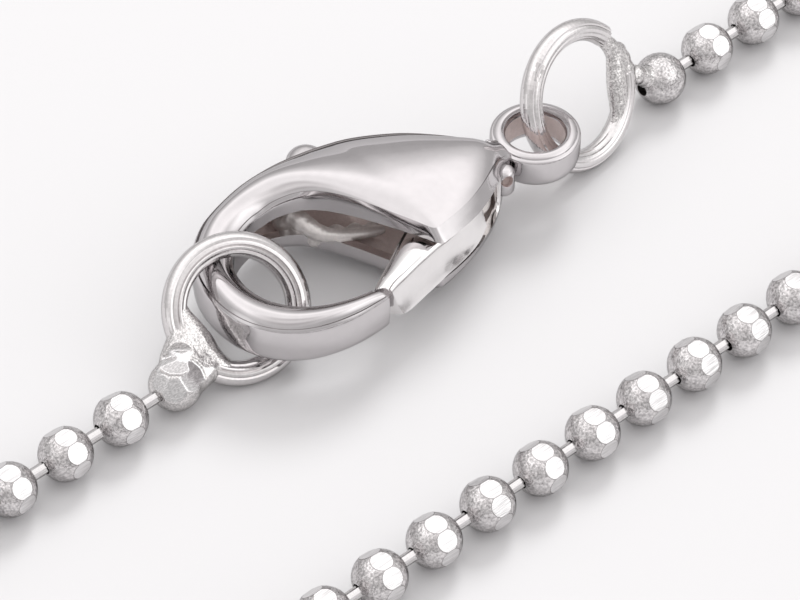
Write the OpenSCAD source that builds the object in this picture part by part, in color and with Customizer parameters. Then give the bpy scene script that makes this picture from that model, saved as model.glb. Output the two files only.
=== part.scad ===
// Ball chain necklace with a lobster clasp, lying closed on a table, in millimetres.
// The origin is the middle of its footprint, on the table. +X runs along the two
// straight strands, +Y points from the plain strand to the one with the clasp.

/* [Chain] */
// Length of the closed necklace, once round through the clasp
necklace_len = 447.6; // [425:0.1:520]
// Distance from the middle of one bead to the next
bead_pitch = 1.9; // [1.84:0.01:2.1]
// Diameter of a bead
bead_d = 1.5; // [1.35:0.05:1.6]
// Wall of the hollow beads
bead_wall = 0.2; // [0.14:0.01:0.24]
// Diameter of the flats cut on a bead
flat_d = 0.62; // [0.4:0.02:0.66]
// Flats in the ring round the middle of a bead
flat_count = 8; // [7:1:9]
// Diameter of the links between the beads
link_d = 0.34; // [0.26:0.02:0.4]
// Clearance round a link in the hole of a bead
hole_clear = 0.12; // [0.1:0.01:0.18]

/* [Layout on the table] */
// Distance between the two straight strands
strand_gap = 8.8; // [8.4:0.1:16]
// Half the length of the straight stretch
straight_half = 20.5; // [15:0.5:40]
// Angle at which the strands flare out to the two round ends
flare_angle = 52; // [40:1:60]

/* [Clasp] */
// Length from the middle of the tail loop to the bend of the hook
clasp_reach = 11.1; // [10:0.1:12.5]
// Width across the body, without the thumb tab
clasp_w = 6.2; // [5.6:0.1:7]
// Thickness at the top of the dome
clasp_h = 2.64; // [2.4:0.02:3]
// Wall of the hollow shells
shell_wall = 0.42; // [0.3:0.02:0.46]
// Thickness of the shells along their open rims
rim_wall = 0.22; // [0.16:0.02:0.26]
// Width of the hole through the tail loop
loop_hole_d = 1.76; // [1.6:0.02:2]
// Metal round the hole of the tail loop
loop_rim = 0.36; // [0.3:0.02:0.45]
// Height of the tail loop
loop_h = 1.1; // [0.9:0.05:1.2]

/* [Lever] */
// Height of the lever's flat outer side
lever_h = 1.1; // [0.9:0.02:1.16]
// Clearance between the lever and the body
lever_clear = 0.1; // [0.08:0.01:0.12]
// Diameter of the pin that the lever turns on
pin_d = 0.6; // [0.5:0.02:0.7]
// Clearance round the pin
pin_clear = 0.03; // [0.02:0.01:0.06]
// Width of the thumb tab
tab_w = 1.0; // [0.8:0.05:1.1]
// Furthest that the lever turns inwards
lever_travel = 18; // [12:1:18]

/* [Jump rings] */
// Outer diameter of the ring in the tail loop
tail_ring_d = 4.4; // [4.2:0.05:4.6]
// Wire of the ring in the tail loop
tail_ring_wire = 0.64; // [0.56:0.02:0.7]
// Outer diameter of the ring on the hook
hook_ring_d = 4.28; // [4.2:0.04:4.6]
// Wire of the ring on the hook
hook_ring_wire = 0.7; // [0.6:0.02:0.74]
// How far the solder fills the rings beyond their wire
solder_fill = 0.2; // [0.1:0.02:0.3]
// Angle by which the tail ring leans back
tail_ring_lean = 24; // [20:1:28]
// Angle by which the hook ring leans back
hook_ring_lean = 42; // [38:1:46]

/* [Hidden] */
$fn = 48;
tiny = 0.01;
bead_r = bead_d / 2;
bead_fn = 24;

// Where the clasp, its two rings and the two soldered beads lie along the clasp's strand.
// The rings pass under both ends of the clasp and hold its dome off the table.
strand_y = strand_gap / 2;
clasp_x = 5.8;
clasp_y = strand_y - 0.32;
clasp_lift = 0.37;
clasp_turn = -6.1;
tail_ring_x = clasp_x + (tail_ring_d - tail_ring_wire) / 2 + 0.13;
tail_ring_y = strand_y + 0.05;
tail_ring_yaw = 7;
tail_bead = [tail_ring_x + tail_ring_d / 2 + bead_r + 0.3, strand_y, bead_r];
hook_ring_x = clasp_x - clasp_reach + 0.69;
hook_ring_y = strand_y + 0.44;
hook_ring_yaw = -17;
hook_bead = [hook_ring_x - hook_ring_d / 2 - bead_r / 2, strand_y, bead_r];
clasp_span = tail_bead[0] - hook_bead[0];

// The route of the chain: a straight, then a flare out, a round end and a flare back, twice.
// The flare's radius closes a loop of the necklace's length.
links = round((necklace_len - clasp_span) / bead_pitch);
chain_len = links * bead_pitch;
end_turn = 180 + 2 * flare_angle;
end_len = (chain_len + clasp_span) / 2 - 2 * straight_half;
arc_of = PI / 180;
flare_r = (end_len - strand_y * end_turn * arc_of / cos(flare_angle))
    / (2 * flare_angle * arc_of + (1 / cos(flare_angle) - 1) * end_turn * arc_of);
end_r = (strand_y + flare_r * (1 - cos(flare_angle))) / cos(flare_angle);
// Each row: length of a straight or radius of an arc, turn to the left
ROUTE = [
    [straight_half - tail_bead[0], 0],
    [flare_r, flare_angle], [end_r, -end_turn], [flare_r, flare_angle],
    [2 * straight_half, 0],
    [flare_r, flare_angle], [end_r, -end_turn], [flare_r, flare_angle],
    [straight_half + hook_bead[0], 0]
];

function row_len(row) = row[1] == 0 ? row[0] : row[0] * abs(row[1]) * arc_of;

// A place [x, y, heading] moved on by a length along one row of the route
function moved_on(place, row, s) =
    row[1] == 0
    ? [place[0] + s * cos(place[2]), place[1] + s * sin(place[2]), place[2]]
    : let (
        side = sign(row[1]),
        heading = place[2] + side * s / (row[0] * arc_of))
    [
        place[0] + side * row[0] * (sin(heading) - sin(place[2])),
        place[1] - side * row[0] * (cos(heading) - cos(place[2])),
        heading
    ];

function route_at(s, place = [tail_bead[0], strand_y, 0], k = 0) =
    k == len(ROUTE) - 1 || s <= row_len(ROUTE[k])
    ? moved_on(place, ROUTE[k], s)
    : route_at(s - row_len(ROUTE[k]), moved_on(place, ROUTE[k], row_len(ROUTE[k])), k + 1);

BEAD_PLACES = [for (i = [0:links]) route_at(i * bead_pitch)];
bead_rolls = rands(-4, 4, links + 1, 7);
flat_lean = 7;
split_bead = floor(links / 2);

// One hollow bead at the origin, drilled along Z, with a ring of flats round its middle
module bead() {
    flat_depth = sqrt(pow(bead_r, 2) - pow(flat_d / 2, 2));
    difference() {
        sphere(bead_r, $fn = bead_fn);
        sphere(bead_r - bead_wall, $fn = bead_fn);
        cylinder(h = 2 * bead_d, d = link_d + 2 * hole_clear, center = true, $fn = bead_fn);
        for (i = [0:flat_count - 1])
            rotate([0, 0, i * 360 / flat_count])
                translate([flat_depth, -bead_r, -bead_r])
                    cube(bead_d);
    }
}

module beads(first, last) {
    for (i = [first:last])
        translate([BEAD_PLACES[i][0], BEAD_PLACES[i][1], bead_r])
            rotate([0, 90, BEAD_PLACES[i][2]])
                rotate([0, 0, bead_rolls[i] + flat_lean * cos(BEAD_PLACES[i][2])])
                    bead();
}

module beads_tail_half() {
    color("gainsboro") beads(1, split_bead);
}

module beads_hook_half() {
    color("lightgray") beads(split_bead + 1, links - 1);
}

// The links as one six-sided wire through the holes, with a ring of points at each bead
module bead_links() {
    sides = 6;
    count = len(BEAD_PLACES);
    points = [
        for (place = BEAD_PLACES, j = [0:sides - 1])
            let (across = link_d / 2 * cos(j * 360 / sides))
            [
                place[0] - across * sin(place[2]),
                place[1] + across * cos(place[2]),
                bead_r + link_d / 2 * sin(j * 360 / sides)
            ]
    ];
    color("silver") polyhedron(points, tube_faces(count, sides), 4);
}

// Three-cornered faces of a tube of closed rings of points, with both ends closed
function tube_faces(rings, sides) = concat(
    [for (j = [1:sides - 2]) [0, j, j + 1]],
    [
        for (i = [0:rings - 2], j = [0:sides - 1], half = [0, 1])
            let (
                near = i * sides,
                far = near + sides,
                k = (j + 1) % sides)
            half == 0 ? [near + j, far + j, far + k] : [near + j, far + k, near + k]
    ],
    [for (j = [1:sides - 2]) [0, j + 1, j] + (rings - 1) * sides * [1, 1, 1]]
);

// The clasp lies in its own plan: origin in the tail loop, hook towards -X, thumb tab towards +Y,
// and its middle plane at z = 0
module in_clasp_place() {
    translate([clasp_x, clasp_y, clasp_lift + clasp_h / 2])
        rotate([0, 0, clasp_turn])
            children();
}

loop_r = loop_hole_d / 2 + loop_rim;

// A distance from the loop's rim towards the hook, as a share of the way to the hook's bend
function along(share) = -loop_r - share * (clasp_reach - loop_r);

// Sections of the body from the neck round to the tip of the hook. Columns: outer edge x and y,
// inner edge x and y, as shares of the way along and of half the width, then the half height of
// the outer edge, of the inner edge and of the middle, as shares of half the thickness.
BODY = [
    [-0.020, 0.130, -0.020, -0.130, 0.40, 0.40, 0.42],
    [0.026, 0.170, 0.030, -0.170, 0.42, 0.46, 0.56],
    [0.068, 0.300, 0.075, -0.290, 0.44, 0.60, 0.76],
    [0.122, 0.480, 0.139, -0.440, 0.44, 0.66, 0.90],
    [0.201, 0.690, 0.218, -0.560, 0.44, 0.68, 0.98],
    [0.302, 0.860, 0.296, -0.635, 0.44, 0.68, 1.00],
    [0.386, 0.945, 0.365, -0.690, 0.44, 0.68, 1.00],
    [0.465, 0.985, 0.417, -0.310, 0.44, 0.67, 1.00],
    [0.544, 1.000, 0.469, 0.000, 0.44, 0.65, 0.98],
    [0.623, 0.990, 0.522, 0.270, 0.43, 0.62, 0.94],
    [0.702, 0.950, 0.578, 0.470, 0.42, 0.58, 0.89],
    [0.786, 0.860, 0.653, 0.560, 0.41, 0.53, 0.82],
    [0.865, 0.735, 0.739, 0.510, 0.40, 0.47, 0.75],
    [0.932, 0.545, 0.818, 0.370, 0.39, 0.42, 0.69],
    [0.983, 0.260, 0.873, 0.140, 0.38, 0.39, 0.65],
    [1.000, -0.100, 0.887, -0.130, 0.38, 0.38, 0.62],
    [0.983, -0.440, 0.867, -0.380, 0.38, 0.38, 0.61],
    [0.927, -0.720, 0.820, -0.570, 0.38, 0.38, 0.60],
    [0.842, -0.905, 0.758, -0.700, 0.38, 0.38, 0.60],
    [0.730, -0.985, 0.696, -0.770, 0.38, 0.38, 0.57],
    [0.597, -0.960, 0.627, -0.785, 0.38, 0.38, 0.48]
];

function edge_point(row, col) = [along(row[col]), row[col + 1] * clasp_w / 2];

// The two edges and the three half heights of each row, in millimetres
function sections(rows, half_h) = [
    for (row = rows)
        [edge_point(row, 0), edge_point(row, 2), row[4] * half_h, row[5] * half_h, row[6] * half_h]
];

// The same sections drawn in by a wall, and carried on past the inner edge by a reach
function hollowed(rows, wall, past) = [
    for (row = rows)
        let (across = (row[1] - row[0]) / norm(row[1] - row[0]))
        [
            row[0] + across * wall, row[1] + across * past,
            row[2] - rim_wall / 2, row[3] - rim_wall, row[4] - wall
        ]
];

// A solid through sections, each crowned between its two edges above and below the middle plane
module crowned(rows, steps = 8) {
    sides = 2 * (steps + 1);
    points = [
        for (row = rows, j = [0:sides - 1])
            let (
                below = j <= steps,
                t = below ? j / steps : (sides - 1 - j) / steps,
                edge = row[2] + (row[3] - row[2]) * t,
                crown = row[4] - (row[2] + row[3]) / 2,
                z = edge + crown * pow(sin(180 * t), 0.75),
                p = row[0] + (row[1] - row[0]) * t)
            [p[0], p[1], below ? -z : z]
    ];
    polyhedron(points, tube_faces(len(rows), sides), 4);
}

// The lever turns here, in the clasp's plan
PIVOT = [along(0.15), -0.09 * clasp_w / 2];
hub_r = 0.29 * clasp_w / 2;
lever_room = lever_h / 2 + lever_clear;
pin_reach = lever_room + 0.28;

module clasp_body() {
    color("silver") in_clasp_place() {
        difference() {
            union() {
                crowned(sections(BODY, clasp_h / 2));
                tail_loop();
                neck_post();
            }
            loop_hole();
            lever_hollow();
            tab_slot();
            pin_hole(pin_reach, pin_clear);
            neck_pit();
        }
    }
}

module tail_loop() {
    rounding = loop_rim / 2;
    rotate_extrude() {
        translate([loop_hole_d / 2 - tiny, rounding - loop_h / 2])
            square([loop_rim + tiny, loop_h - 2 * rounding]);
        for (side = [-1, 1])
            translate([loop_hole_d / 2 + rounding, side * (loop_h / 2 - rounding)])
                circle(rounding, $fn = 24);
    }
}

module loop_hole() {
    cylinder(h = clasp_h, d = loop_hole_d, center = true);
}

// The hollow between the two shells, open on the side of the gate
module lever_hollow() {
    midway = [for (i = [2:12]) (BODY[i] + BODY[i + 1]) / 2];
    crowned(hollowed(sections(midway, clasp_h / 2), shell_wall, 1));
    translate(PIVOT)
        cylinder(h = 2 * lever_room, r = hub_r + lever_clear, center = true);
}

// The slot in the back of the body that the thumb tab and its arm swing through
module tab_slot() {
    for (turn = [0:-3:-lever_travel])
        translate(PIVOT)
            rotate([0, 0, turn])
                translate(-PIVOT) {
                    tab_arm(2 * lever_room, lever_clear + 0.05);
                    thumb_tab(2 * lever_room, lever_clear);
                }
}

module pin_hole(reach, clearance) {
    translate(PIVOT)
        cylinder(h = 2 * reach, d = pin_d + 2 * clearance, center = true, $fn = 32);
}

// The round post on the gate's side of the neck, and the small blind hole in it
NECK_POST = [-loop_r - 0.26, -0.19 * clasp_w / 2];
neck_post_r = 0.34;

module neck_post() {
    translate(NECK_POST)
        cylinder(h = loop_h, r = neck_post_r, center = true, $fn = 32);
}

module neck_pit() {
    translate(NECK_POST)
        rotate([90, 0, 10])
            cylinder(h = 2 * neck_post_r, d = 0.36, $fn = 24);
}

// Sections of the gate from the hub to its tip, with the columns of the body's table and half
// heights as shares of half the lever's height
GATE = [
    [0.156, 0.100, 0.158, -0.395, 0.86, 0.97, 1.00],
    [0.218, -0.020, 0.218, -0.530, 0.86, 1.00, 1.03],
    [0.296, -0.120, 0.296, -0.620, 0.86, 1.00, 1.05],
    [0.370, -0.220, 0.364, -0.680, 0.88, 1.00, 1.07],
    [0.448, -0.370, 0.448, -0.765, 0.90, 1.00, 1.08],
    [0.516, -0.530, 0.510, -0.825, 0.92, 0.99, 1.06],
    [0.604, -0.745, 0.577, -0.920, 0.90, 0.95, 1.00]
];

module clasp_lever() {
    color("lightsteelblue") in_clasp_place() {
        difference() {
            union() {
                crowned(sections(GATE, lever_h / 2));
                translate(PIVOT)
                    cylinder(h = lever_h - 0.06, r = hub_r, center = true);
                tab_arm(0.7 * lever_h, 0);
                thumb_tab(0.8 * lever_h, 0);
            }
            pin_hole(lever_h, pin_clear);
        }
    }
}

// The arm from the hub to the thumb tab, in two straight bars with a round bend between them
TAB_BEND = [along(0.325), 0.46 * clasp_w / 2];
TAB_END = [along(0.448), clasp_w / 2];

module tab_arm(h, extra) {
    width = 0.6 * tab_w + 2 * extra;
    bar(PIVOT, TAB_BEND, width, h);
    bar(TAB_BEND, TAB_END, width, h);
}

module bar(from, to, width, h) {
    run = to - from;
    translate(from)
        rotate([0, 0, atan2(run[1], run[0])])
            translate([0, -width / 2, -h / 2])
                cube([norm(run), width, h]);
    for (p = [from, to])
        translate(p)
            cylinder(h = h, d = width, center = true, $fn = 32);
}

module thumb_tab(h, extra) {
    translate(TAB_END)
        cylinder(h = h, d = tab_w + 2 * extra, center = true, $fn = 32);
}

module lever_pin() {
    color("gray") in_clasp_place()
        pin_hole(pin_reach - pin_clear, 0);
}

// A ring's own plan is upright along X, with angles counted from +X up towards +Z.
// On the table it is turned, leans back and has its lowest wire on the table.
function ring_height(ring_d, wire_d, lean) = (ring_d - wire_d) / 2 * cos(lean) + wire_d / 2;

module tail_ring_place() {
    translate([tail_ring_x, tail_ring_y, ring_height(tail_ring_d, tail_ring_wire, tail_ring_lean)])
        rotate([-tail_ring_lean, 0, tail_ring_yaw])
            children();
}

module hook_ring_place() {
    translate([hook_ring_x, hook_ring_y, ring_height(hook_ring_d, hook_ring_wire, hook_ring_lean)])
        rotate([-hook_ring_lean, 0, hook_ring_yaw])
            children();
}

// A stretch of a ring's wire, or of the solder on it, with a thickness of its own
module wire_arc(ring_d, wire_d, thick, from = 0, to = 360) {
    rotate([90, 0, 0])
        rotate([0, 0, from])
            rotate_extrude(angle = to - from)
                translate([(ring_d - wire_d) / 2, 0])
                    circle(d = thick, $fn = 32);
}

// A place on the wire's middle line, in the ring's own plan
function on_wire(ring_d, wire_d, angle) = (ring_d - wire_d) / 2 * [cos(angle), 0, sin(angle)];

// The same place on the table
function on_table(p, x, y, z, lean, yaw) =
    let (back = p[2] * sin(lean) + p[1] * cos(lean))
    [
        x + p[0] * cos(yaw) - back * sin(yaw),
        y + p[0] * sin(yaw) + back * cos(yaw),
        z + p[2] * cos(lean) - p[1] * sin(lean)
    ];

// A tapered neck of solder between two points
module solder_neck(from, to, r_from, r_to) {
    run = to - from;
    translate(from)
        rotate([0, acos(run[2] / norm(run)), atan2(run[1], run[0])])
            cylinder(h = norm(run), r1 = r_from, r2 = r_to, $fn = 32);
}

// A hollow bead at a point, joined to the ring and the solder, with the chain's hole through it
module soldered_bead(at, hole_from, hole_to) {
    difference() {
        union() {
            children();
            translate(at)
                rotate([0, 90, 0])
                    sphere(bead_r);
        }
        translate(at)
            rotate([0, 90, 0]) {
                sphere(bead_r - bead_wall);
                translate([0, 0, hole_from])
                    cylinder(h = hole_to - hole_from, d = link_d + 2 * hole_clear, $fn = bead_fn);
            }
    }
}

module tail_jump_ring() {
    joint_angle = -25;
    fill_wire = tail_ring_wire + solder_fill / 2;
    fill_from = -64;
    fill_to = 30;
    neck_r = [0.3, 0.5];
    joint = on_table(on_wire(tail_ring_d, tail_ring_wire, joint_angle), tail_ring_x, tail_ring_y,
        ring_height(tail_ring_d, tail_ring_wire, tail_ring_lean), tail_ring_lean, tail_ring_yaw);
    color("whitesmoke") soldered_bead(tail_bead, -1.2 * bead_r, bead_d) {
        tail_ring_place() {
            wire_arc(tail_ring_d, tail_ring_wire, tail_ring_wire);
            wire_arc(tail_ring_d - solder_fill, tail_ring_wire, fill_wire, fill_from, fill_to);
        }
        solder_neck(joint, tail_bead, neck_r[0], neck_r[1]);
    }
}

module hook_jump_ring() {
    joint_angle = 211;
    fill_wire = hook_ring_wire + solder_fill / 2;
    fill_from = joint_angle - 38;
    fill_to = joint_angle + 40;
    neck_r = [0.5, 0.68];
    joint = on_table(on_wire(hook_ring_d, hook_ring_wire, joint_angle), hook_ring_x, hook_ring_y,
        ring_height(hook_ring_d, hook_ring_wire, hook_ring_lean), hook_ring_lean, hook_ring_yaw);
    color("whitesmoke") soldered_bead(hook_bead, -bead_d, 0) {
        hook_ring_place() {
            wire_arc(hook_ring_d, hook_ring_wire, hook_ring_wire);
            wire_arc(hook_ring_d, hook_ring_wire, fill_wire, fill_from, fill_to);
        }
        solder_neck(joint, hook_bead, neck_r[0], neck_r[1]);
    }
}

clasp_body();
clasp_lever();
lever_pin();
tail_jump_ring();
hook_jump_ring();
beads_tail_half();
beads_hook_half();
bead_links();
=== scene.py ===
# A ball chain necklace with a lobster clasp, lying on a pale table
import math
import random

import bmesh
import bpy
from mathutils import Matrix, Vector


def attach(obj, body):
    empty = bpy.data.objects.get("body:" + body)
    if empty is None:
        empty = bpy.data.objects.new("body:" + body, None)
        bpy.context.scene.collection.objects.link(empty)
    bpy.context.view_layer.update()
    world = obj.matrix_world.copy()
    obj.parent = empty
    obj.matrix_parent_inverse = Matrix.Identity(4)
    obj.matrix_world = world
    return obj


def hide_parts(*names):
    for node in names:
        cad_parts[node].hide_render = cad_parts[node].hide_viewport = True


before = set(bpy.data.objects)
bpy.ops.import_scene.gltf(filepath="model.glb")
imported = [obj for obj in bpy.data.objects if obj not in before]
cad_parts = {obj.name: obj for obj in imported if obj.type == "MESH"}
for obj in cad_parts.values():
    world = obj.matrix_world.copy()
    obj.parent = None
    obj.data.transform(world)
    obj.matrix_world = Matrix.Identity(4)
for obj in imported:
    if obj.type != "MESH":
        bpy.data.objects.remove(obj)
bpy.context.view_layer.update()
print("stage: packed frame loaded")

# Pieces are modelled in millimetres, each in its own plan, and brought to metres when they are settled
millimetre = 0.001
perMetre = 1000


# helpers

def objectMode():
    bpy.ops.object.mode_set(mode="OBJECT")


def pickAll():
    bpy.ops.mesh.select_all(action="SELECT")


def deselectAll():
    if bpy.context.object and bpy.context.object.mode != "OBJECT":
        objectMode()
    bpy.ops.object.select_all(action="DESELECT")


def makeActive(piece):
    deselectAll()
    piece.select_set(True)
    bpy.context.view_layer.objects.active = piece


def named(name):
    piece = bpy.context.object
    piece.name = name
    piece.data.name = name
    return piece


def editPiece(piece, mode="VERT"):
    makeActive(piece)
    bpy.ops.object.mode_set(mode="EDIT")
    bpy.ops.mesh.select_mode(type=mode)


def pick(piece, test, kind="verts"):
    # selects what passes the test, and nothing else, in edit mode
    mesh = bmesh.from_edit_mesh(piece.data)
    mesh.verts.index_update()
    for item in list(mesh.faces) + list(mesh.edges) + list(mesh.verts):
        item.select = False
    for item in getattr(mesh, kind):
        if test(item):
            item.select_set(True)
    if kind == "verts":
        mesh.select_flush(True)
    bmesh.update_edit_mesh(piece.data)


def addMetals(piece, *metals):
    for metal in metals:
        piece.data.materials.append(metal)


def crease(piece, test, amount):
    pick(piece, test, "edges")
    bpy.ops.transform.edge_crease(value=amount)


def paintFaces(piece, test, slot):
    bpy.ops.mesh.select_mode(type="FACE")
    pick(piece, test, "faces")
    piece.active_material_index = slot
    bpy.ops.object.material_slot_assign()


def useModifier(piece, kind, **settings):
    makeActive(piece)
    modifier = piece.modifiers.new(kind.title(), kind)
    for key, value in settings.items():
        setattr(modifier, key, value)
    bpy.ops.object.modifier_apply(modifier=modifier.name)


def smooth(piece, levels):
    useModifier(piece, "SUBSURF", levels=levels, render_levels=levels)


def applyPlace(piece):
    makeActive(piece)
    bpy.ops.object.transform_apply(location=True, rotation=True, scale=True)


def joinPieces(pieces, name):
    deselectAll()
    for piece in pieces:
        piece.select_set(True)
    bpy.context.view_layer.objects.active = pieces[0]
    if len(pieces) > 1:
        bpy.ops.object.join()
    return named(name)


def shadeRound(piece, degrees=40):
    makeActive(piece)
    bpy.ops.object.shade_smooth_by_angle(angle=math.radians(degrees))


def settle(piece, place=Matrix.Identity(4)):
    # from its own plan in millimetres to its place in metres, with the object at the origin
    piece.matrix_world = Matrix.Scale(millimetre, 4) @ place @ piece.matrix_world
    applyPlace(piece)


def hand(piece, body, slot, *nodes):
    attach(piece, body)
    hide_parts(*nodes)
    print("stage:", piece.name, len(piece.data.polygons), "faces")


def ball(place, radius, squash=(1, 1, 1), detail=3):
    bpy.ops.mesh.primitive_ico_sphere_add(subdivisions=detail, radius=radius, location=place)
    blob = named("blob")
    blob.scale = squash
    applyPlace(blob)
    return blob


def cylinder(name, sides, radius, height, place=(0, 0, 0), turn=(0, 0, 0)):
    bpy.ops.mesh.primitive_cylinder_add(vertices=sides, radius=radius, depth=height,
                                        location=place, rotation=turn)
    piece = named(name)
    applyPlace(piece)
    return piece


def turned(degrees, axis):
    return Matrix.Rotation(math.radians(degrees), 4, axis)


def clamped(share):
    return min(1, max(0, share))


# metal finishes

def setInputs(node, values):
    for key, value in values.items():
        node.inputs[key].default_value = value


def makeMetal(name, colour, gloss, spread, waves, lines=None, metallic=1.0, edge=0.6, patches=0.92):
    # plated metal, its roughness going from gloss to gloss + spread;
    # waves is a list of (size in mm, height in mm, detail), the last of which also varies tone and gloss;
    # lines is (length, width, height) in mm for fine tool marks along X, which then vary them instead;
    # edge darkens what is seen at a slant;
    # patches is how dark the duller patches are, as a share of the colour
    material = bpy.data.materials.new(name)
    material.use_nodes = True
    nodes = material.node_tree.nodes
    links = material.node_tree.links
    shader = nodes["Principled BSDF"]
    setInputs(shader, {"Metallic": metallic, "Specular Tint": (edge, edge, edge, 1)})
    where = nodes.new("ShaderNodeTexCoord").outputs["Object"]

    def addBump(place, scale, detail, height, below):
        noise = nodes.new("ShaderNodeTexNoise")
        setInputs(noise, {"Scale": scale, "Detail": detail})
        links.new(place, noise.inputs["Vector"])
        bump = nodes.new("ShaderNodeBump")
        setInputs(bump, {"Strength": 1.0, "Distance": height * millimetre})
        links.new(noise.outputs["Fac"], bump.inputs["Height"])
        if below:
            links.new(below, bump.inputs["Normal"])
        return noise.outputs["Fac"], bump.outputs["Normal"]

    pattern, normal = None, None
    for size, height, detail in waves:
        pattern, normal = addBump(where, perMetre / size, detail, height, normal)
    if lines:
        length, width, height = lines
        stretch = nodes.new("ShaderNodeMapping")
        setInputs(stretch, {"Scale": (perMetre / length, perMetre / width, perMetre / width)})
        links.new(where, stretch.inputs["Vector"])
        pattern, normal = addBump(stretch.outputs["Vector"], 1.0, 3, height, normal)
    links.new(normal, shader.inputs["Normal"])

    dull, clear = 0.35, 0.65  # the part of the pattern's range that is used
    tone = nodes.new("ShaderNodeValToRGB")
    tone.color_ramp.elements[0].position = dull
    tone.color_ramp.elements[0].color = [c * patches for c in colour] + [1]
    tone.color_ramp.elements[1].position = clear
    tone.color_ramp.elements[1].color = list(colour) + [1]
    links.new(pattern, tone.inputs["Fac"])
    links.new(tone.outputs["Color"], shader.inputs["Base Color"])
    rough = nodes.new("ShaderNodeMapRange")
    setInputs(rough, {"From Min": dull, "From Max": clear, "To Min": gloss, "To Max": gloss + spread})
    links.new(pattern, rough.inputs["Value"])
    links.new(rough.outputs["Result"], shader.inputs["Roughness"])
    return material


# the clasp
castMetal = makeMetal("castMetal", (0.62, 0.597, 0.605), 0.07, 0.02,
                      [(2.2, 0.006, 1), (0.30, 0.0004, 2)], patches=0.97)
# painted shade and reflection: a warmer, duller copy of the cast metal for the inner faces, standing in for
# the brownish bounced light in the hollows
castInsideShade = makeMetal("castInsideShade", (0.80, 0.695, 0.67), 0.38, 0.16,
                       [(0.7, 0.06, 2), (0.09, 0.012, 4)], metallic=0.25)
# painted shade: a dark copy of the metal laid in the fine grooves beside the bands, standing in for the shade
# in them
grooveShadeMetal = makeMetal("grooveShadeMetal", (0.30, 0.285, 0.285), 0.20, 0.10, [(0.3, 0.002, 2)])
# painted highlight: a lighter copy of the cast metal for the gate and the shell's cut rims, standing in for
# their brighter reflections
highlightMetal = makeMetal("highlightMetal", (0.84, 0.822, 0.82), 0.08, 0.03,
                      [(1.6, 0.006, 1), (0.25, 0.0006, 2)], edge=0.9, patches=0.97)
tabMetal = makeMetal("tabMetal", (0.60, 0.578, 0.585), 0.12, 0.04, [(1.2, 0.010, 1), (0.10, 0.0008, 4)])
armMetal = makeMetal("armMetal", (0.80, 0.765, 0.745), 0.30, 0.12,
                     [(0.5, 0.05, 2), (0.08, 0.010, 4)], metallic=0.5)
pinMetal = makeMetal("pinMetal", (0.58, 0.565, 0.57), 0.18, 0.08, [(0.1, 0.002, 2)])

# the rings
wireMetal = makeMetal("wireMetal", (0.76, 0.737, 0.738), 0.07, 0.05, [(0.9, 0.010, 1), (0.09, 0.0012, 3)])
solderMetal = makeMetal("solderMetal", (0.88, 0.857, 0.85), 0.12, 0.14,
                        [(0.16, 0.018, 2), (0.05, 0.010, 3)], patches=0.55)

# the chain
beadMetal = makeMetal("beadMetal", (0.82, 0.795, 0.797), 0.06, 0.12,
                      [(0.17, 0.034, 2), (0.07, 0.012, 3)], patches=0.52)
flatMetal = makeMetal("flatMetal", (0.86, 0.845, 0.848), 0.08, 0.06,
                      [(0.40, 0.0035, 1)], (0.7, 0.040, 0.0035), edge=0.8, patches=0.72)
# painted shade: a dark metal for the thin bevel round each flat, standing in for the dark line seen along a
# flat's edge
flatEdgeShadeMetal = makeMetal("flatEdgeShadeMetal", (0.34, 0.325, 0.325), 0.22, 0.10, [(0.05, 0.004, 2)])
# painted shade: near black for the faces inside the holes' dimples
beadHoleShade = makeMetal("beadHoleShade", (0.07, 0.062, 0.06), 0.5, 0.1, [(0.05, 0.002, 2)])
linkMetal = makeMetal("linkMetal", (0.68, 0.665, 0.665), 0.10, 0.06, [(0.3, 0.004, 1), (0.05, 0.001, 3)])

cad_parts["lever_pin"].data.materials[0] = pinMetal
print("stage: metals mixed")


# lofting along stations

def loft(name, stations):
    # a ring of points is drawn once and extruded from station to station;
    # each station is (outer xy, inner xy, [(across, up), ...] from its own middle)
    count = len(stations[0][2])
    bpy.ops.mesh.primitive_circle_add(vertices=count, radius=1)
    piece = named(name)
    for vertex, (across, up) in zip(piece.data.vertices, stations[0][2]):
        vertex.co = (across, 0, up)
    editPiece(piece)
    before = None
    for number, (outer, inner, ring) in enumerate(stations):
        outer, inner = Vector(outer), Vector(inner)
        middle = (outer + inner) / 2
        turn = math.atan2(inner.y - outer.y, inner.x - outer.x)
        if before:
            pick(piece, lambda v: v.index >= count * (number - 1))
            bpy.ops.mesh.extrude_region_move()
            bpy.ops.transform.translate(value=(-before[0].x, -before[0].y, 0))
            bpy.ops.transform.rotate(value=before[1], orient_axis="Z", center_override=(0, 0, 0))
            for index, (old, new) in enumerate(zip(before[2], ring)):
                scale = [new[k] / old[k] if abs(old[k]) > 1e-6 else 1 for k in (0, 1)]
                pick(piece, lambda v: v.index == count * number + index)
                bpy.ops.transform.resize(value=(scale[0], 1, scale[1]), center_override=(0, 0, 0))
            pick(piece, lambda v: v.index >= count * number)
        else:
            pickAll()
        bpy.ops.transform.rotate(value=-turn, orient_axis="Z", center_override=(0, 0, 0))
        bpy.ops.transform.translate(value=(middle.x, middle.y, 0))
        before = (middle, turn, ring)
    for first in (0, count * (len(stations) - 1)):
        pick(piece, lambda v: first <= v.index < first + count)
        bpy.ops.mesh.edge_face_add()
    pickAll()
    bpy.ops.mesh.normals_make_consistent(inside=False)
    return piece


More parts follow.
